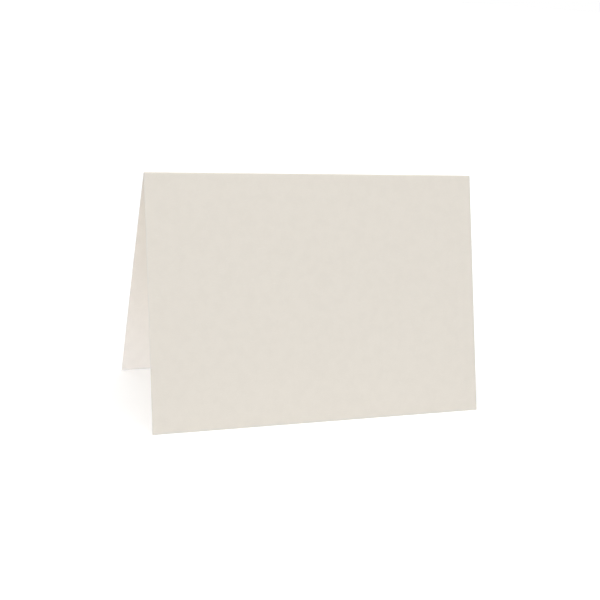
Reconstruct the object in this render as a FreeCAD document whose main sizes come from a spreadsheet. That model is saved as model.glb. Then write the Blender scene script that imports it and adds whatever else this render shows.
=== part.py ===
"""Folded greeting card, standing like a tent with its fold on top.

One sheet of card, scored and folded once across its middle. The fold runs along X, the front panel
faces -Y and the back panel +Y. The origin lies on the surface that the card stands on, midway along
the fold and midway between the outer corners of the two feet. All sizes are in millimetres.
"""

import FreeCAD, Part
import math
import os

import Sketcher
from FreeCAD import Vector

# Driving sizes. A folded five by seven inch card: each panel is 5 in high and 7 in wide.
SIZES = {
    "card_width": 177.8,     # along the fold, from one cut end to the other
    "panel_height": 127.0,   # from a panel's cut edge to the outside of the fold
    "sheet_thick": 0.30,     # caliper of the card
    "stand_depth": 83.0,     # between the outer corners of the two feet
    "back_bow": 0.45,        # outward bulge of the back panel at half its height
    "bend_radius": 0.50,     # inside of the fold, where the bead leaves it free
    "bead_height": 0.36,     # how far the score's bead stands into the fold
    "bead_radius": 0.34,     # roundness of the bead
    "valley_radius": 0.12,   # hollow line on each side of the bead
}

# Sizes that follow from the driving ones, as formulas of the sheet's aliases.
FOLD_RADIUS = "(sizes.bend_radius + sizes.sheet_thick)"
PANEL_LENGTH = f"(sizes.panel_height - {FOLD_RADIUS})"
BOW_RADIUS = f"({PANEL_LENGTH}^2 / (8 * sizes.back_bow) + sizes.back_bow / 2)"
BEAD_RISE = "(sizes.bend_radius - sizes.bead_height + sizes.bead_radius)"
HALF_STAND = "(sizes.stand_depth / 2)"

# The section's lines and arcs, numbered in the order in which they go round the outline.
(FRONT_OUTER, FOLD_OUTER, BACK_OUTER, BACK_CUT, BACK_INNER,
 BACK_VALLEY, BEAD, FRONT_VALLEY, FRONT_INNER, FRONT_CUT) = range(10)

# Points of an element, and the sketch's own origin and axis, as the sketcher numbers them.
START, END, CENTRE = 1, 2, 3
ORIGIN = (-1, 1)
FLOOR = -1


def make_sizes(doc):
    """Put the driving sizes into a sheet, each with its own alias."""
    sheet = doc.addObject("Spreadsheet::Sheet", "sizes")
    for row, (name, value) in enumerate(SIZES.items(), start=1):
        sheet.set(f"A{row}", name)
        sheet.set(f"B{row}", str(value))
        sheet.setAlias(f"B{row}", name)
    doc.recompute()
    return sheet


def toward(point, angle, distance):
    """The point that lies at this angle and distance from another one."""
    return point + Vector(math.cos(angle), math.sin(angle), 0) * distance


def heading(point, other):
    """The angle at which the other point is seen from the first."""
    return math.atan2(other.y - point.y, other.x - point.x)


def arc(centre, radius, first, last):
    """An arc that runs anticlockwise from its first angle to its last."""
    return Part.ArcOfCircle(Part.Circle(centre, Vector(0, 0, 1), radius), first, last)


def section_outline(sheet):
    """Draw the section near its final place: y runs to the right and z upwards.

    The back panel starts as the front panel's mirror image with its bow added, and the constraints
    then settle it against the fold and the floor.
    """
    thick = sheet.sheet_thick
    fold_radius = sheet.evalExpression(FOLD_RADIUS)
    length = sheet.evalExpression(PANEL_LENGTH)
    bow_radius = sheet.evalExpression(BOW_RADIUS)
    bead_rise = sheet.evalExpression(BEAD_RISE)
    half_stand = sheet.evalExpression(HALF_STAND)

    lean = math.asin(half_stand / math.hypot(length, fold_radius)) - math.atan2(fold_radius, length)
    front_out, back_out = math.pi - lean, lean
    front_down = -math.pi / 2 - lean

    # Feet and fold.
    front_foot = Vector(-half_stand, thick * math.sin(lean), 0)
    front_toe = toward(front_foot, front_out, -thick)
    front_top = toward(front_foot, front_down, -length)
    fold = toward(front_top, front_out, -fold_radius)
    back_foot = Vector(half_stand, front_foot.y, 0)
    back_top = toward(fold, back_out, fold_radius)
    bow = toward((back_foot + back_top) / 2, back_out, sheet.back_bow - bow_radius)
    foot_angle, top_angle = heading(bow, back_foot), heading(bow, back_top)
    back_toe = toward(bow, foot_angle, bow_radius - thick)

    # Bead and the hollows beside it. Each hollow touches the bead and the inside of its panel.
    bead = fold + Vector(0, bead_rise, 0)
    reach = sheet.bead_radius + sheet.valley_radius
    aside = sheet.bend_radius - sheet.valley_radius - bead_rise * math.sin(lean)
    below = math.sqrt(reach ** 2 - aside ** 2)
    front_valley = toward(toward(bead, front_out, aside), front_down, below)
    back_valley = Vector(2 * bead.x - front_valley.x, front_valley.y, 0)
    from_front, from_back = heading(front_valley, bead), heading(back_valley, bead)
    inner_top = toward(front_valley, front_out, sheet.valley_radius)

    return [
        Part.LineSegment(front_foot, front_top),
        arc(fold, fold_radius, back_out, front_out),
        arc(bow, bow_radius, foot_angle, top_angle),
        Part.LineSegment(back_foot, back_toe),
        arc(bow, bow_radius - thick, foot_angle, top_angle),
        arc(back_valley, sheet.valley_radius, back_out, from_back),
        arc(bead, sheet.bead_radius, from_front + math.pi, from_back + math.pi),
        arc(front_valley, sheet.valley_radius, from_front, front_out),
        Part.LineSegment(inner_top, front_toe),
        Part.LineSegment(front_toe, front_foot),
    ]


def relate(sketch):
    """Join the outline's pieces and give them their places towards each other."""
    smooth_joints = [
        (FRONT_OUTER, END, FOLD_OUTER, END),
        (FOLD_OUTER, START, BACK_OUTER, END),
        (BACK_INNER, END, BACK_VALLEY, START),
        (BACK_VALLEY, END, BEAD, END),
        (BEAD, START, FRONT_VALLEY, START),
        (FRONT_VALLEY, END, FRONT_INNER, START),
    ]
    corners = [
        (BACK_OUTER, START, BACK_CUT, START),
        (BACK_CUT, END, BACK_INNER, START),
        (FRONT_INNER, END, FRONT_CUT, START),
        (FRONT_CUT, END, FRONT_OUTER, START),
    ]
    for joint in smooth_joints:
        sketch.addConstraint(Sketcher.Constraint("Tangent", *joint))
    for corner in corners:
        sketch.addConstraint(Sketcher.Constraint("Coincident", *corner))

    # The faces of each panel stay a sheet apart, and each cut edge is square to them.
    sketch.addConstraint(Sketcher.Constraint("Parallel", FRONT_INNER, FRONT_OUTER))
    sketch.addConstraint(Sketcher.Constraint("Perpendicular", FRONT_CUT, FRONT_OUTER))
    sketch.addConstraint(Sketcher.Constraint("Coincident", BACK_INNER, CENTRE, BACK_OUTER, CENTRE))
    sketch.addConstraint(Sketcher.Constraint("PointOnObject", BACK_OUTER, CENTRE, BACK_CUT))

    # Both feet stand on the floor with the inner corner of their cut edge.
    sketch.addConstraint(Sketcher.Constraint("PointOnObject", FRONT_INNER, END, FLOOR))
    sketch.addConstraint(Sketcher.Constraint("PointOnObject", BACK_INNER, START, FLOOR))

    # The bead lies under the middle of the fold, between two equal hollows.
    sketch.addConstraint(Sketcher.Constraint("Vertical", FOLD_OUTER, CENTRE, BEAD, CENTRE))
    sketch.addConstraint(Sketcher.Constraint("Equal", FRONT_VALLEY, BACK_VALLEY))


def dimension(sketch, name, formula, kind, *where):
    """Add a named dimension and bind it to a formula of the sheet's sizes."""
    value = sketch.evalExpression(formula)
    index = sketch.addConstraint(Sketcher.Constraint(kind, *where, value))
    sketch.renameConstraint(index, name)
    sketch.setExpression(f"Constraints.{name}", formula)


def measure(sketch):
    """Give the section its sizes."""
    dimension(sketch, "front_stand", HALF_STAND, "DistanceX", FRONT_OUTER, START, *ORIGIN)
    dimension(sketch, "back_stand", HALF_STAND, "DistanceX", *ORIGIN, BACK_OUTER, START)
    dimension(sketch, "front_length", PANEL_LENGTH, "Distance", FRONT_OUTER)
    dimension(sketch, "back_length", PANEL_LENGTH, "Distance", BACK_OUTER, START, BACK_OUTER, END)
    dimension(sketch, "front_thick", "sizes.sheet_thick", "Distance", FRONT_CUT)
    dimension(sketch, "back_thick", "sizes.sheet_thick", "Distance", BACK_CUT)
    dimension(sketch, "fold_radius", FOLD_RADIUS, "Radius", FOLD_OUTER)
    dimension(sketch, "bow_radius", BOW_RADIUS, "Radius", BACK_OUTER)
    dimension(sketch, "bead_rise", BEAD_RISE, "DistanceY", FOLD_OUTER, CENTRE, BEAD, CENTRE)
    dimension(sketch, "bead_radius", "sizes.bead_radius", "Radius", BEAD)
    dimension(sketch, "valley_radius", "sizes.valley_radius", "Radius", FRONT_VALLEY)


def own_plane(body, role):
    """Find one of a body's own origin planes."""
    return next(feature for feature in body.Origin.OriginFeatures if feature.Role == role)


def make_card_sheet(doc, sheet):
    """Make the card: its folded section, drawn square to the fold and run along it."""
    body = doc.addObject("PartDesign::Body", "card_sheet")
    body.Label = "card_sheet"
    body.Placement = FreeCAD.Placement()

    section = body.newObject("Sketcher::SketchObject", "sheet_section")
    section.AttachmentSupport = (own_plane(body, "YZ_Plane"), "")
    section.MapMode = "FlatFace"
    section.addGeometry(section_outline(sheet), False)
    relate(section)
    measure(section)

    run = body.newObject("PartDesign::Pad", "sheet_run")
    run.Profile = section
    run.SideType = "Symmetric"
    run.setExpression("Length", "sizes.card_width")
    body.Tip = run
    return body


def check_document(doc):
    """Stop if any object of the document failed to build."""
    for item in doc.Objects:
        if "Invalid" in item.State or "Error" in item.State:
            raise RuntimeError(f"{item.Label} failed: {item.State}")


def check_part(body):
    """Stop if a sub-part has no shape, a broken one or more than one solid."""
    if body.Shape.isNull() or not body.Shape.isValid():
        raise RuntimeError(f"{body.Label} has no valid shape")
    if len(body.Shape.Solids) != 1:
        raise RuntimeError(f"{body.Label} is not one solid")


def main():
    """Build the document, check it and write each sub-part's STEP file."""
    doc = FreeCAD.newDocument("greeting_card")
    sheet = make_sizes(doc)
    parts = [make_card_sheet(doc, sheet)]
    doc.recompute()

    check_document(doc)
    for body in parts:
        check_part(body)

    os.makedirs("parts", exist_ok=True)
    for body in parts:
        body.Shape.exportStep(os.path.join("parts", f"{body.Label}.step"))


main()
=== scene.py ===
"""Dress the folded greeting card and set it in a plain studio.

The card is one sheet of uncoated ivory card stock, scored and folded once, standing like a tent with its
fold on top. The fold runs along X and the front panel faces -Y. Lengths are in metres, and MM turns
millimetres to metres.
"""

import logging
import math
from collections.abc import Callable
from dataclasses import dataclass
from enum import Enum, IntEnum

import bmesh
import bpy
from mathutils import Matrix, Vector


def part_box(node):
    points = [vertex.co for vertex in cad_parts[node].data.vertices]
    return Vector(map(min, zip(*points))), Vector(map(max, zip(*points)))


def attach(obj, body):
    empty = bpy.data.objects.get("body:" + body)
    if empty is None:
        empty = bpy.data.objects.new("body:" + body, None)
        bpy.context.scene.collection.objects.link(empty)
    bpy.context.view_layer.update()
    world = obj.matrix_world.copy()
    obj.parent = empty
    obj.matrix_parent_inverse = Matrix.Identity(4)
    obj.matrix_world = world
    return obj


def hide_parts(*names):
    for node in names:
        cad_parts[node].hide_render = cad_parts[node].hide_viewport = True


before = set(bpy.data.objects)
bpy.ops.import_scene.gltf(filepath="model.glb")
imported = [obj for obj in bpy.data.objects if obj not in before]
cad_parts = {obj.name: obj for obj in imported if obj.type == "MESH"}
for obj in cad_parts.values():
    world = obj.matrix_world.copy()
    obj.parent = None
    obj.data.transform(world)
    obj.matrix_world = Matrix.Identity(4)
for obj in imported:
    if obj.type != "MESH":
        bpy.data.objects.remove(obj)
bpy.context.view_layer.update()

LOG = logging.getLogger("greeting_card")
MM = 0.001
SHEET_NODE = "card_sheet"

Tree = bpy.types.NodeTree
Socket = bpy.types.NodeSocket
Sockets = bpy.types.NodeOutputs
Colour = tuple[float, float, float, float]


class Surface(Enum):
    """The two kinds of surface that a cut sheet has, by the number of their material slot."""

    FACE = 0
    CUT_EDGE = 1


class Element(Enum):
    """The parts of a mesh that are picked, by the name of the select mode that shows them."""

    VERTEX = "VERT"
    EDGE = "EDGE"


class MixSocket(IntEnum):
    """Places of a Mix node's sockets for colours, which share their names with those for numbers."""

    SHARE = 0
    MIXED = 2
    UNDER = 6
    OVER = 7


def linear(hex_colour: str) -> Colour:
    """Turn an sRGB colour to the linear values that a shader takes.

    The constants are the sRGB standard's: a straight line near black, and a power curve above it.

    Args:
        hex_colour: Six hexadecimal digits, such as "e9e2d8".

    Returns:
        Linear red, green and blue, and an alpha of one.
    """
    channels = [int(hex_colour[i:i + 2], 16) / 255 for i in (0, 2, 4)]
    red, green, blue = [c / 12.92 if c <= 0.04045 else ((c + 0.055) / 1.055) ** 2.4 for c in channels]
    return red, green, blue, 1.0


def add_node(
    tree: Tree,
    kind: str,
    settings: dict[str, object] | None = None,
    inputs: dict[str | int, object] | None = None,
) -> bpy.types.Node:
    """Add one node with its settings, its fixed inputs and its links.

    Args:
        tree: Node tree that the node goes into.
        kind: Blender's name of the node's type.
        settings: Attributes of the node itself.
        inputs: Inputs by name or place. Another node's output is linked, and any other value is set.

    Returns:
        The new node.
    """
    node = tree.nodes.new(kind)
    for name, value in (settings or {}).items():
        setattr(node, name, value)
    for name, value in (inputs or {}).items():
        if isinstance(value, Socket):
            tree.links.new(value, node.inputs[name])
        else:
            node.inputs[name].default_value = value
    return node


def new_material(name: str) -> tuple[bpy.types.Material, Tree]:
    """Make an empty node material.

    Args:
        name: Name of the material.

    Returns:
        The material and its node tree, with no nodes in it.
    """
    material = bpy.data.materials.new(name)
    material.use_nodes = True
    material.node_tree.nodes.clear()
    return material, material.node_tree


def pick(sheet: bpy.types.Object, element: Element, wanted: Callable[..., bool]) -> None:
    """Select the vertices or the edges that pass a test, and nothing else.

    Args:
        sheet: Object that is in edit mode.
        element: What is picked.
        wanted: Test of one vertex or edge.
    """
    bpy.ops.mesh.select_mode(type=element.value)
    bpy.ops.mesh.select_all(action="DESELECT")
    mesh = bmesh.from_edit_mesh(sheet.data)
    parts = mesh.verts if element is Element.VERTEX else mesh.edges
    for part in filter(wanted, parts):
        part.select_set(True)
    mesh.select_flush_mode()
    bmesh.update_edit_mesh(sheet.data)


@dataclass(frozen=True)
class Layer:
    """A colour that shows over the one beneath it where a pattern is strong.

    It starts to show at one strength of the pattern, rises smoothly, and shows by its full share at another.
    """

    colour: str
    start: float
    full: float
    share: float = 1.0

    def over(self, tree: Tree, beneath: Socket | Colour, pattern: Socket) -> Socket:
        """Lay the colour over another one.

        Args:
            tree: Node tree of the material.
            beneath: The other colour, as a node's output or a linear colour.
            pattern: Strength of the pattern from place to place.

        Returns:
            The two colours together.
        """
        shown = add_node(tree, "ShaderNodeMapRange", {"interpolation_type": "SMOOTHSTEP"}, {
            "Value": pattern,
            "From Min": self.start,
            "From Max": self.full,
            "To Max": self.share,
        })
        mixed = add_node(tree, "ShaderNodeMix", {"data_type": "RGBA"}, {
            MixSocket.SHARE: shown.outputs["Result"],
            MixSocket.UNDER: beneath,
            MixSocket.OVER: linear(self.colour),
        })
        return mixed.outputs[MixSocket.MIXED]


@dataclass(frozen=True)
class UncoatedCard:
    """Face of uncoated card stock, calendered smooth on the paper machine.

    Wood fibres with no coating scatter nearly all light, so the eye gets a soft matt ivory with no highlight.
    Fibres settle unevenly on the wire, which leaves clouds a few millimetres wide, and single fibres and the
    felt's tooth show only from close by. Along the score the fibres are crushed and pulled open, which
    whitens the fold. Grey is painted beside the cut edges: toward both ends of the fold, and most of it at
    the feet, where it is painted shade of the card standing on the table.
    """

    # Cellulose has an index of 1.47, and bare fibres give next to no gloss.
    base: str = "ebe3d3"
    roughness: float = 0.88
    ior: float = 1.47
    metallic: float = 0.0

    # Clouds of fibre, a trace darker than the rest.
    cloud: Layer = Layer("e9e1d1", start=0.35, full=0.70)
    cloud_size: float = 5.0 * MM
    cloud_detail: float = 4.0
    cloud_roughness: float = 0.55

    # Single fibres, pale and a little bent. A real one is about 0.03 mm wide and too fine to show, so each is
    # drawn as wide as a few fibres side by side.
    fibre: Layer = Layer("f6f1e4", start=0.58, full=0.80, share=0.45)
    fibre_length: float = 1.3 * MM
    fibre_width: float = 0.14 * MM
    fibre_detail: float = 1.0
    fibre_bend: float = 1.4

    # Tooth that the felt presses in. A real mark is about 0.2 mm wide and too fine to show, so it is drawn
    # coarser.
    tooth_size: float = 0.32 * MM
    tooth_depth: float = 0.010 * MM
    tooth_detail: float = 3.0
    tooth_roughness: float = 0.6
    tooth_strength: float = 0.6

    # Fibres that the score crushed, down both sides of the fold.
    crushed: str = "f3efe3"
    score_reach: float = 1.1 * MM
    score_share: float = 0.3

    # Grey beside the cuts, in patches: grey toward both ends of the fold, and painted shade at the feet,
    # where the card stands on the table.
    end_grey_and_foot_shade: str = "e2ded1"
    # The band at the feet is painted shade where the card stands on the table.
    foot_shade_reach: float = 1.4 * MM
    foot_shade_share: float = 1.0
    end_reach: float = 0.9 * MM
    end_share: float = 0.7
    patch_start: float = 0.25
    patch_full: float = 0.60
    patch_share: float = 1.0

    def material(self, half_width: float, fold_top: float) -> bpy.types.Material:
        """Make the material.

        Args:
            half_width: Distance from the middle of the card to the cut at each end of the fold.
            fold_top: Height of the fold's outside, where the crushed fibres lie.

        Returns:
            The finished material.
        """
        material, tree = new_material("uncoated_ivory_card")
        place = add_node(tree, "ShaderNodeTexCoord").outputs["Object"]
        along = add_node(tree, "ShaderNodeSeparateXYZ", inputs={"Vector": place}).outputs
        clouds = add_node(tree, "ShaderNodeTexNoise", inputs={
            "Vector": place,
            "Scale": 1 / self.cloud_size,
            "Detail": self.cloud_detail,
            "Roughness": self.cloud_roughness,
        }).outputs["Fac"]
        clouded = self.cloud.over(tree, linear(self.base), clouds)
        flecked = self.fibre.over(tree, clouded, self._fibres(tree, place))
        score = Layer(self.crushed, start=fold_top - self.score_reach, full=fold_top, share=self.score_share)
        whitened = score.over(tree, flecked, along["Z"])
        # Grey toward both ends of the fold, and painted shade at the feet.
        with_foot_shade = add_node(tree, "ShaderNodeMix", {"data_type": "RGBA"}, {
            MixSocket.SHARE: self._end_grey_and_foot_shade(tree, along, clouds, half_width),
            MixSocket.UNDER: whitened,
            MixSocket.OVER: linear(self.end_grey_and_foot_shade),
        })
        shader = add_node(tree, "ShaderNodeBsdfPrincipled", inputs={
            "Base Color": with_foot_shade.outputs[MixSocket.MIXED],
            "Normal": self._tooth(tree, place),
            "Roughness": self.roughness,
            "IOR": self.ior,
            "Metallic": self.metallic,
        })
        add_node(tree, "ShaderNodeOutputMaterial", inputs={"Surface": shader.outputs["BSDF"]})
        return material

    def _fibres(self, tree: Tree, place: Socket) -> Socket:
        """Draw single fibres, which lie mostly along the grain, and so along the fold.

        Args:
            tree: Node tree of the material.
            place: Object coordinates.

        Returns:
            A pattern that is strong on a fibre.
        """
        shortened = add_node(tree, "ShaderNodeMapping", inputs={
            "Vector": place,
            "Scale": (self.fibre_width / self.fibre_length, 1.0, 1.0),
        })
        return add_node(tree, "ShaderNodeTexNoise", inputs={
            "Vector": shortened.outputs["Vector"],
            "Scale": 1 / self.fibre_width,
            "Detail": self.fibre_detail,
            "Distortion": self.fibre_bend,
        }).outputs["Fac"]

    def _end_grey_and_foot_shade(self, tree: Tree, along: Sockets, clouds: Socket, half_width: float) -> Socket:
        """Mask the grey at both ends of the fold, and the painted shade at the feet where the card stands.

        Args:
            tree: Node tree of the material.
            along: Object coordinates, one by one.
            clouds: Pattern of the clouds, which the patches of grey follow.
            half_width: Distance from the middle of the card to the cut at each end of the fold.

        Returns:
            How much of the grey and the painted shade shows from place to place.
        """
        outward = add_node(tree, "ShaderNodeMath", {"operation": "ABSOLUTE"}, {0: along["X"]})
        rises = (
            (outward.outputs["Value"], half_width - self.end_reach, half_width, self.end_share),
            # The rise at the feet is painted shade where the card stands on the table.
            (along["Z"], self.foot_shade_reach, 0.0, self.foot_shade_share),
            (clouds, self.patch_start, self.patch_full, self.patch_share),
        )
        at_ends, painted_foot_shade, patches = [
            add_node(tree, "ShaderNodeMapRange", {"interpolation_type": "SMOOTHSTEP"}, {
                "Value": measure,
                "From Min": start,
                "From Max": full,
                "To Max": share,
            }).outputs["Result"]
            for measure, start, full, share in rises
        ]
        at_cuts = add_node(tree, "ShaderNodeMath", {"operation": "MAXIMUM"}, {0: at_ends, 1: painted_foot_shade})
        factors = {0: at_cuts.outputs["Value"], 1: patches}
        return add_node(tree, "ShaderNodeMath", {"operation": "MULTIPLY"}, factors).outputs["Value"]

    def _tooth(self, tree: Tree, place: Socket) -> Socket:
        """Press the felt's tooth into the surface.

        Args:
            tree: Node tree of the material.
            place: Object coordinates.

        Returns:
            The bent surface normal.
        """
        tooth = add_node(tree, "ShaderNodeTexNoise", inputs={
            "Vector": place,
            "Scale": 1 / self.tooth_size,
            "Detail": self.tooth_detail,
            "Roughness": self.tooth_roughness,
        })
        return add_node(tree, "ShaderNodeBump", inputs={
            "Height": tooth.outputs["Fac"],
            "Strength": self.tooth_strength,
            "Distance": self.tooth_depth,
        }).outputs["Normal"]


@dataclass(frozen=True)
class GuillotinedEdge:
    """Edge of the same card where the guillotine cut it.

    The blade leaves the sheet's layers of fibres open, so the eye gets a line a little darker and rougher
    than the face. The fine dark gaps between the layers are painted shade.
    """

    base: str = "e0dad0"
    # Painted shade in the gaps between the layers.
    gap_shade: str = "d3ccc1"
    roughness: float = 0.95
    ior: float = 1.47
    metallic: float = 0.0

    # A real layer is about 0.02 mm thick and too fine to show, so three of them are drawn as one.
    layer_size: float = 0.06 * MM
    layer_depth: float = 0.008 * MM
    layer_detail: float = 2.0
    layer_roughness: float = 0.6
    layer_strength: float = 0.6

    def material(self) -> bpy.types.Material:
        """Make the material.

        Returns:
            The finished material.
        """
        material, tree = new_material("guillotined_card_edge")
        place = add_node(tree, "ShaderNodeTexCoord").outputs["Object"]
        layers = add_node(tree, "ShaderNodeTexNoise", inputs={
            "Vector": place,
            "Scale": 1 / self.layer_size,
            "Detail": self.layer_detail,
            "Roughness": self.layer_roughness,
        }).outputs["Fac"]
        # Painted shade in the gaps, where the layers' pattern is low.
        colour = add_node(tree, "ShaderNodeMix", {"data_type": "RGBA"}, {
            MixSocket.SHARE: layers,
            MixSocket.UNDER: linear(self.gap_shade),
            MixSocket.OVER: linear(self.base),
        })
        relief = add_node(tree, "ShaderNodeBump", inputs={
            "Height": layers,
            "Strength": self.layer_strength,
            "Distance": self.layer_depth,
        })
        shader = add_node(tree, "ShaderNodeBsdfPrincipled", inputs={
            "Base Color": colour.outputs[MixSocket.MIXED],
            "Normal": relief.outputs["Normal"],
            "Roughness": self.roughness,
            "IOR": self.ior,
            "Metallic": self.metallic,
        })
        add_node(tree, "ShaderNodeOutputMaterial", inputs={"Surface": shader.outputs["BSDF"]})
        return material


@dataclass(frozen=True)
class FoldedSheet:
    """The card's one sheet, modelled as its folded section and then run along the fold."""

    width: float                        # along the fold, from one cut end to the other
    stand_depth: float                  # between the outer corners of the two feet
    height: float                       # from the table to the outside of the fold
    panel_height: float = 127.0 * MM    # from a panel's cut edge to the outside of the fold
    thickness: float = 0.30 * MM        # caliper of the card
    bend_radius: float = 0.50 * MM      # inside of the fold, where the bead leaves it free
    back_bow: float = 0.45 * MM         # outward bulge of the back panel at half its height

    bead_height: float = 0.36 * MM      # how far the score's bead stands into the fold
    bead_half_angle: float = math.radians(53)   # part of the fold's inside that the bead takes, each way
    bead_squeeze: float = 0.90          # narrows the bead, so that its sides don't lean over the valleys
    valley_width: float = 0.06 * MM     # rounding of the valley on each side of the bead
    worn_edge: float = 0.02 * MM        # wear of a cut's corners, measured from the sharp corner

    # Steps of each rounded form.
    panel_steps: int = 24
    fold_steps: int = 24
    valley_steps: int = 5
    worn_steps: int = 2

    # What tells parts of the mesh apart.
    square_turn: float = math.radians(60)   # an edge that turns by more is the corner of a cut
    foot_turn: float = math.radians(26)     # a face at the foot that is nearer to level is its cut
    smooth_turn: float = math.radians(50)   # an edge that turns by less is shaded smoothly
    merge_distance: float = 0.002 * MM      # points that lie nearer are one

    name: str = "folded_card_sheet"

    @property
    def fold_radius(self) -> float:
        """Outside radius of the fold."""
        return self.bend_radius + self.thickness

    @property
    def middle_radius(self) -> float:
        """Radius of the fold at the middle of the sheet's thickness."""
        return self.bend_radius + self.thickness / 2

    @property
    def panel_length(self) -> float:
        """Length of a panel from its cut edge to where the fold starts."""
        return self.panel_height - self.fold_radius

    @property
    def lean(self) -> float:
        """Angle between the front panel and the vertical."""
        reach = math.hypot(self.panel_length, self.fold_radius)
        return math.asin(self.stand_depth / 2 / reach) - math.atan2(self.fold_radius, self.panel_length)

    @property
    def bow_radius(self) -> float:
        """Radius of the back panel's outside, whose chord is a panel long."""
        return self.panel_length ** 2 / (8 * self.back_bow) + self.back_bow / 2

    @property
    def bead_rise(self) -> float:
        """Least height above the fold's centre of the part of the inside that becomes the bead."""
        return self.bend_radius * math.cos(self.bead_half_angle)

    @property
    def fold_centre(self) -> Vector:
        """Centre of the fold's section, at the sheet's left end."""
        return Vector((-self.width / 2, 0, self.height - self.fold_radius))

    def build(self) -> bpy.types.Object:
        """Model the sheet.

        Returns:
            The sheet, with its faces sorted by surface.
        """
        sheet = self._front_strip()
        bpy.ops.object.mode_set(mode="EDIT")
        self._turn_fold_and_back(sheet)
        self._raise_bead(sheet)
        self._round_valleys(sheet)
        self._run_along_fold()
        self._soften_cut_edges(sheet)
        self._sort_surfaces(sheet)
        bpy.ops.object.mode_set(mode="OBJECT")
        self._shade(sheet)
        return sheet

    def dress(self, sheet: bpy.types.Object, face: UncoatedCard, cut: GuillotinedEdge) -> None:
        """Give the sheet its two finishes, one on the panels and the fold, and one on the cut edges."""
        sheet.data.materials.append(face.material(self.width / 2, self.height))
        sheet.data.materials.append(cut.material())

    def _front_strip(self) -> bpy.types.Object:
        """Add the front panel's section: a strip as thick as the sheet, leaning against the fold.

        Returns:
            The strip, divided along its length.
        """
        outward = Vector((0, -math.cos(self.lean), math.sin(self.lean)))
        upward = Vector((0, math.sin(self.lean), math.cos(self.lean)))
        top = self.fold_centre + outward * self.middle_radius
        turn = Matrix((outward, upward, outward.cross(upward))).transposed()
        bpy.ops.object.select_all(action="DESELECT")
        bpy.ops.mesh.primitive_plane_add(
            size=1, location=top - upward * self.panel_length / 2, rotation=turn.to_euler())
        strip = bpy.context.object
        strip.name = self.name
        strip.data.name = self.name
        strip.scale = (self.thickness, self.panel_length, 1)
        bpy.ops.object.transform_apply(location=True, rotation=True, scale=True)
        bpy.ops.object.mode_set(mode="EDIT")
        pick(strip, Element.EDGE, lambda edge: edge.calc_length() > self.panel_length / 2)
        bpy.ops.mesh.subdivide(number_cuts=self.panel_steps - 1)
        bpy.ops.object.mode_set(mode="OBJECT")
        return strip

    def _turn_fold_and_back(self, sheet: bpy.types.Object) -> None:
        """Spin the strip's top end over the fold, and on round the wide arc of the back panel.

        Args:
            sheet: The strip, in edit mode.
        """
        bow_turn = 2 * math.asin(self.panel_length / 2 / self.bow_radius)
        back_rise = self.lean + bow_turn / 2
        fold_turn = math.pi - self.lean - back_rise
        back_normal = Vector((0, math.cos(back_rise), math.sin(back_rise)))
        bow_centre = self.fold_centre + back_normal * (self.fold_radius - self.bow_radius)
        near_fold = self.fold_radius + self.merge_distance
        pick(sheet, Element.VERTEX, lambda vert: (vert.co - self.fold_centre).length < near_fold)
        bpy.ops.mesh.spin(steps=self.fold_steps, angle=fold_turn, center=self.fold_centre, axis=(1, 0, 0))
        bpy.ops.mesh.spin(steps=self.panel_steps, angle=bow_turn, center=bow_centre, axis=(1, 0, 0))

    def _in_bead(self, vert: bmesh.types.BMVert) -> bool:
        """Whether a vertex is on the part of the fold's inside that becomes the bead."""
        offset = vert.co - self.fold_centre
        return offset.length < self.middle_radius and offset.z > self.bead_rise

    def _raise_bead(self, sheet: bpy.types.Object) -> None:
        """Draw the inside of the fold down into the bead that the score leaves there.

        Args:
            sheet: The folded section, in edit mode.
        """
        bead_tip = self.fold_centre + Vector((0, 0, self.bend_radius - self.bead_height))
        pick(sheet, Element.VERTEX, self._in_bead)
        bpy.ops.mesh.extrude_region_move(TRANSFORM_OT_translate={"value": (0, 0, -self.bead_height)})
        bpy.ops.transform.resize(value=(1, self.bead_squeeze, -self.bead_squeeze), center_override=bead_tip)

    def _in_valley(self, vert: bmesh.types.BMVert) -> bool:
        """Whether a vertex of the outline is where the bead leaves the inside of the fold."""
        off_arc = abs((vert.co - self.fold_centre).length - self.bend_radius)
        return off_arc < self.merge_distance and self._in_bead(vert)

    def _round_valleys(self, sheet: bpy.types.Object) -> None:
        """Make the section one face and round the valleys beside the bead, where card bends but never cracks.

        Args:
            sheet: The folded section, in edit mode.
        """
        bpy.ops.mesh.select_all(action="SELECT")
        bpy.ops.mesh.dissolve_faces()
        pick(sheet, Element.VERTEX, self._in_valley)
        bpy.ops.mesh.bevel(offset=self.valley_width, segments=self.valley_steps, affect="VERTICES")

    def _run_along_fold(self) -> None:
        """Extrude the whole section along the fold into a closed skin."""
        bpy.ops.mesh.select_all(action="SELECT")
        bpy.ops.mesh.extrude_region_move(TRANSFORM_OT_translate={"value": (self.width, 0, 0)})
        bpy.ops.mesh.select_all(action="SELECT")
        bpy.ops.mesh.remove_doubles(threshold=self.merge_distance)
        bpy.ops.mesh.normals_make_consistent(inside=False)

    def _is_cut(self, face: bmesh.types.BMFace) -> bool:
        """Whether a face lies where the guillotine cut.

        Args:
            face: A face of the closed sheet.

        Returns:
            True at either end of the fold and at a foot.
        """
        at_end = abs(face.normal.x) > math.cos(self.square_turn)
        faces_down = face.normal.z < -math.cos(self.foot_turn)
        at_foot = faces_down and face.calc_center_median().z < self.thickness
        return at_end or at_foot

    def _is_sharp(self, edge: bmesh.types.BMEdge) -> bool:
        """Whether an edge is a cut's sharp outline."""
        cuts = [self._is_cut(face) for face in edge.link_faces]
        return any(cuts) and edge.calc_face_angle(0) > self.square_turn

    def _soften_cut_edges(self, sheet: bpy.types.Object) -> None:
        """Round off the outline of the cut edges, as handling does."""
        pick(sheet, Element.EDGE, self._is_sharp)
        bpy.ops.mesh.bevel(offset=self.worn_edge, segments=self.worn_steps, affect="EDGES")

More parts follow.
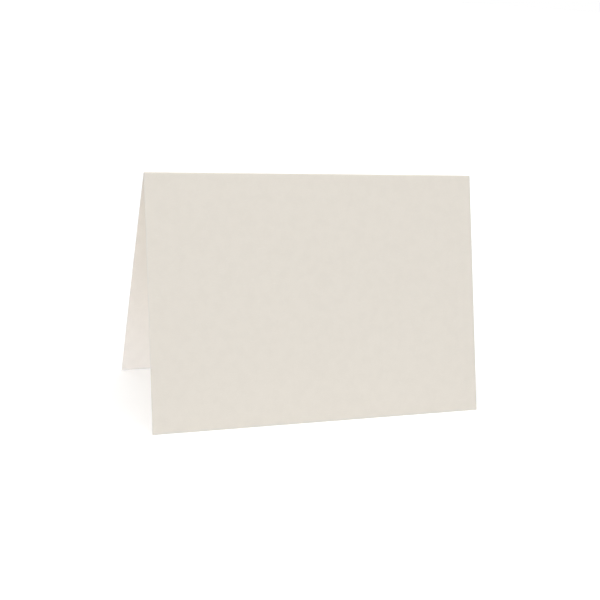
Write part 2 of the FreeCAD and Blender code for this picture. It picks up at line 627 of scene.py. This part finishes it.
    def _sort_surfaces(self, sheet: bpy.types.Object) -> None:
        """Give each face the slot number of its kind of surface.

        Args:
            sheet: The closed sheet, in edit mode.
        """
        mesh = bmesh.from_edit_mesh(sheet.data)
        for face in mesh.faces:
            kind = Surface.CUT_EDGE if self._is_cut(face) else Surface.FACE
            face.material_index = kind.value
        bmesh.update_edit_mesh(sheet.data)

    def _shade(self, sheet: bpy.types.Object) -> None:
        """Shade the fold and the worn edges smoothly and keep the panels flat.

        Args:
            sheet: The closed sheet, in object mode.
        """
        bpy.ops.object.shade_smooth_by_angle(angle=self.smooth_turn)
        sheet.modifiers.new("flat_panels", "WEIGHTED_NORMAL").keep_sharp = True
        bpy.ops.object.modifier_apply(modifier="flat_panels")


def mix_seen(tree: Tree, lighting: Socket, seen: Socket) -> Socket:
    """Give one shader to the light on the object and another to what is seen.

    Args:
        tree: Node tree of the table or the world.
        lighting: Shader that lights the object.
        seen: Shader that the camera, a reflection or a clear material shows.

    Returns:
        The mixed shader.
    """
    rays = add_node(tree, "ShaderNodeLightPath").outputs
    share = rays["Is Camera Ray"]
    for name in ("Is Glossy Ray", "Is Transmission Ray"):
        either = add_node(tree, "ShaderNodeMath", {"operation": "MAXIMUM"}, {0: share, 1: rays[name]})
        share = either.outputs["Value"]
    return add_node(tree, "ShaderNodeMixShader", inputs={0: share, 1: lighting, 2: seen}).outputs["Shader"]


@dataclass(frozen=True)
class LitAcrylic:
    """Top of white acrylic, satin on its face and lit evenly from beneath.

    Its glow is softer than the lamps' light, and reaches the undersides of the leaning panels. The picture
    shows less of it: round the card only so much that the card keeps its soft shadow, and further out, where
    the lamps hardly reach, as much as makes the open table white. The shader's own index of 1.5 is that of
    acrylic.
    """

    colour: str = "f7f7f7"
    roughness: float = 0.6

    # The glow that lights the card, and the one that is seen near the card and far from it.
    glow_colour: str = "dde5ff"
    glow: float = 0.820
    seen_colour: str = "ffffff"
    seen_near: float = 0.22
    seen_far: float = 0.75
    near_radius: float = 0.1
    far_radius: float = 1.6

    def material(self) -> bpy.types.Material:
        """Make the material.

        Returns:
            The finished material.
        """
        material, tree = new_material("lit_white_acrylic")
        place = add_node(tree, "ShaderNodeTexCoord").outputs["Object"]
        radius = add_node(tree, "ShaderNodeVectorMath", {"operation": "LENGTH"}, {0: place})
        seen_glow = add_node(tree, "ShaderNodeMapRange", {"interpolation_type": "SMOOTHSTEP"}, {
            "Value": radius.outputs["Value"],
            "From Min": self.near_radius,
            "From Max": self.far_radius,
            "To Min": self.seen_near,
            "To Max": self.seen_far,
        })
        glows = ((self.glow_colour, self.glow), (self.seen_colour, seen_glow.outputs["Result"]))
        lighting, seen = [
            add_node(tree, "ShaderNodeBsdfPrincipled", inputs={
                "Base Color": linear(self.colour),
                "Roughness": self.roughness,
                "Emission Color": linear(glow_colour),
                "Emission Strength": glow,
            }).outputs["BSDF"]
            for glow_colour, glow in glows
        ]
        add_node(tree, "ShaderNodeOutputMaterial", inputs={"Surface": mix_seen(tree, lighting, seen)})
        return material


@dataclass(frozen=True)
class LightTable:
    """Wide table with a glowing top, as for a catalogue picture."""

    half_side: float = 8.0
    top: LitAcrylic = LitAcrylic()

    def build(self) -> bpy.types.Object:
        """Set up the table.

        Returns:
            The table.
        """
        bpy.ops.object.select_all(action="DESELECT")
        bpy.ops.mesh.primitive_plane_add(size=2 * self.half_side)
        table = bpy.context.object
        table.name = "light_table"
        table.data.materials.append(self.top.material())
        return table


def direction(azimuth_deg: float, elevation_deg: float) -> Vector:
    """Unit vector from the card towards a place in the studio.

    Args:
        azimuth_deg: 0 is in front of the card, 90 at its right.
        elevation_deg: Angle above the floor.

    Returns:
        The vector.
    """
    azimuth, elevation = math.radians(azimuth_deg), math.radians(elevation_deg)
    level = math.cos(elevation)
    return Vector((math.sin(azimuth) * level, -math.cos(azimuth) * level, math.sin(elevation)))


@dataclass(frozen=True)
class Softbox:
    """A square lamp with a soft white cloth in front, aimed at the card."""

    name: str
    azimuth_deg: float
    elevation_deg: float
    distance: float
    side: float
    watts: float

    def build(self, target: Vector) -> bpy.types.Object:
        """Hang the lamp and aim it.

        Args:
            target: Point that the lamp faces.

        Returns:
            The lamp.
        """
        back = direction(self.azimuth_deg, self.elevation_deg)
        data = bpy.data.lights.new(self.name, "AREA")
        data.shape = "SQUARE"
        data.size = self.side
        data.energy = self.watts
        lamp = bpy.data.objects.new(self.name, data)
        bpy.context.scene.collection.objects.link(lamp)
        lamp.location = target + back * self.distance
        lamp.rotation_euler = (-back).to_track_quat("-Z", "Y").to_euler()
        return lamp


@dataclass(frozen=True)
class Studio:
    """Plain soft studio: a light table, an even white surround and two softboxes."""

    table: LightTable = LightTable()
    lamps: tuple[Softbox, ...] = (
        Softbox("overhead_softbox", azimuth_deg=0, elevation_deg=88, distance=1.2, side=1.2, watts=11.9),
        Softbox("left_softbox", azimuth_deg=-90, elevation_deg=13, distance=5.0, side=2.0, watts=80.0),
    )

    # The surround lights the card by one strength and is seen at another, where 1 is white.
    surround_colour: str = "ffffff"
    surround: float = 0.28
    seen_surround: float = 1.0

    def build(self, target: Vector) -> list[bpy.types.Object]:
        """Set up the table, the lamps and the surround.

        Args:
            target: Point that the lamps face.

        Returns:
            The table and the lamps.
        """
        fittings = [self.table.build()] + [lamp.build(target) for lamp in self.lamps]
        world = bpy.data.worlds.new("white_surround")
        bpy.context.scene.world = world
        world.use_nodes = True
        tree = world.node_tree
        tree.nodes.clear()
        lighting, seen = [
            add_node(tree, "ShaderNodeBackground", inputs={
                "Color": linear(self.surround_colour),
                "Strength": strength,
            }).outputs["Background"]
            for strength in (self.surround, self.seen_surround)
        ]
        add_node(tree, "ShaderNodeOutputWorld", inputs={"Surface": mix_seen(tree, lighting, seen)})
        bpy.context.scene.view_settings.view_transform = "Standard"
        return fittings


@dataclass(frozen=True)
class PhotoCamera:
    """Camera at the photograph's viewing angle, from a fit to the card's edges."""

    azimuth_deg: float = -21.178
    elevation_deg: float = 18.116
    roll_deg: float = 4.898
    distance: float = 545.43 * MM
    target: tuple[float, float, float] = (-2.766 * MM, 0.0, 52.031 * MM)
    near_limit: float = 10.0 * MM

    # Focal length as the fit gives it, in pixels of the square frame, and the sensor that turns it to
    # millimetres.
    focal_pixels: float = 1026.08
    frame_pixels: float = 600.0
    sensor_mm: float = 36.0

    def build(self) -> bpy.types.Object:
        """Set up the camera and make it the scene's.

        Returns:
            The camera.
        """
        data = bpy.data.cameras.new("photo_camera")
        data.sensor_width = self.sensor_mm
        data.lens = self.focal_pixels / self.frame_pixels * self.sensor_mm
        data.clip_start = self.near_limit
        camera = bpy.data.objects.new("photo_camera", data)
        bpy.context.scene.collection.objects.link(camera)
        back = direction(self.azimuth_deg, self.elevation_deg)
        camera.location = Vector(self.target) + back * self.distance
        level = (-back).to_track_quat("-Z", "Y")
        roll = Matrix.Rotation(math.radians(self.roll_deg), 3, "Z")
        camera.rotation_euler = (level.to_matrix() @ roll).to_euler()
        bpy.context.scene.camera = camera
        return camera


def main() -> None:
    """Build and dress the card, then set up the studio and the camera."""
    logging.basicConfig(level=logging.INFO, format="%(message)s")
    low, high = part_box(SHEET_NODE)
    extent = high - low
    design = FoldedSheet(width=extent.x, stand_depth=extent.y, height=high.z)
    sheet = design.build()
    design.dress(sheet, UncoatedCard(), GuillotinedEdge())
    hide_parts(SHEET_NODE)
    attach(sheet, "root")
    LOG.info("%s: %d faces", sheet.name, len(sheet.data.polygons))

    for fitting in Studio().build(target=Vector((0, 0, high.z / 2))):
        LOG.info("%s: in place", fitting.name)
    camera = PhotoCamera().build()
    LOG.info("%s: %.1f mm lens", camera.name, camera.data.lens)


if __name__ == "__main__":
    main()
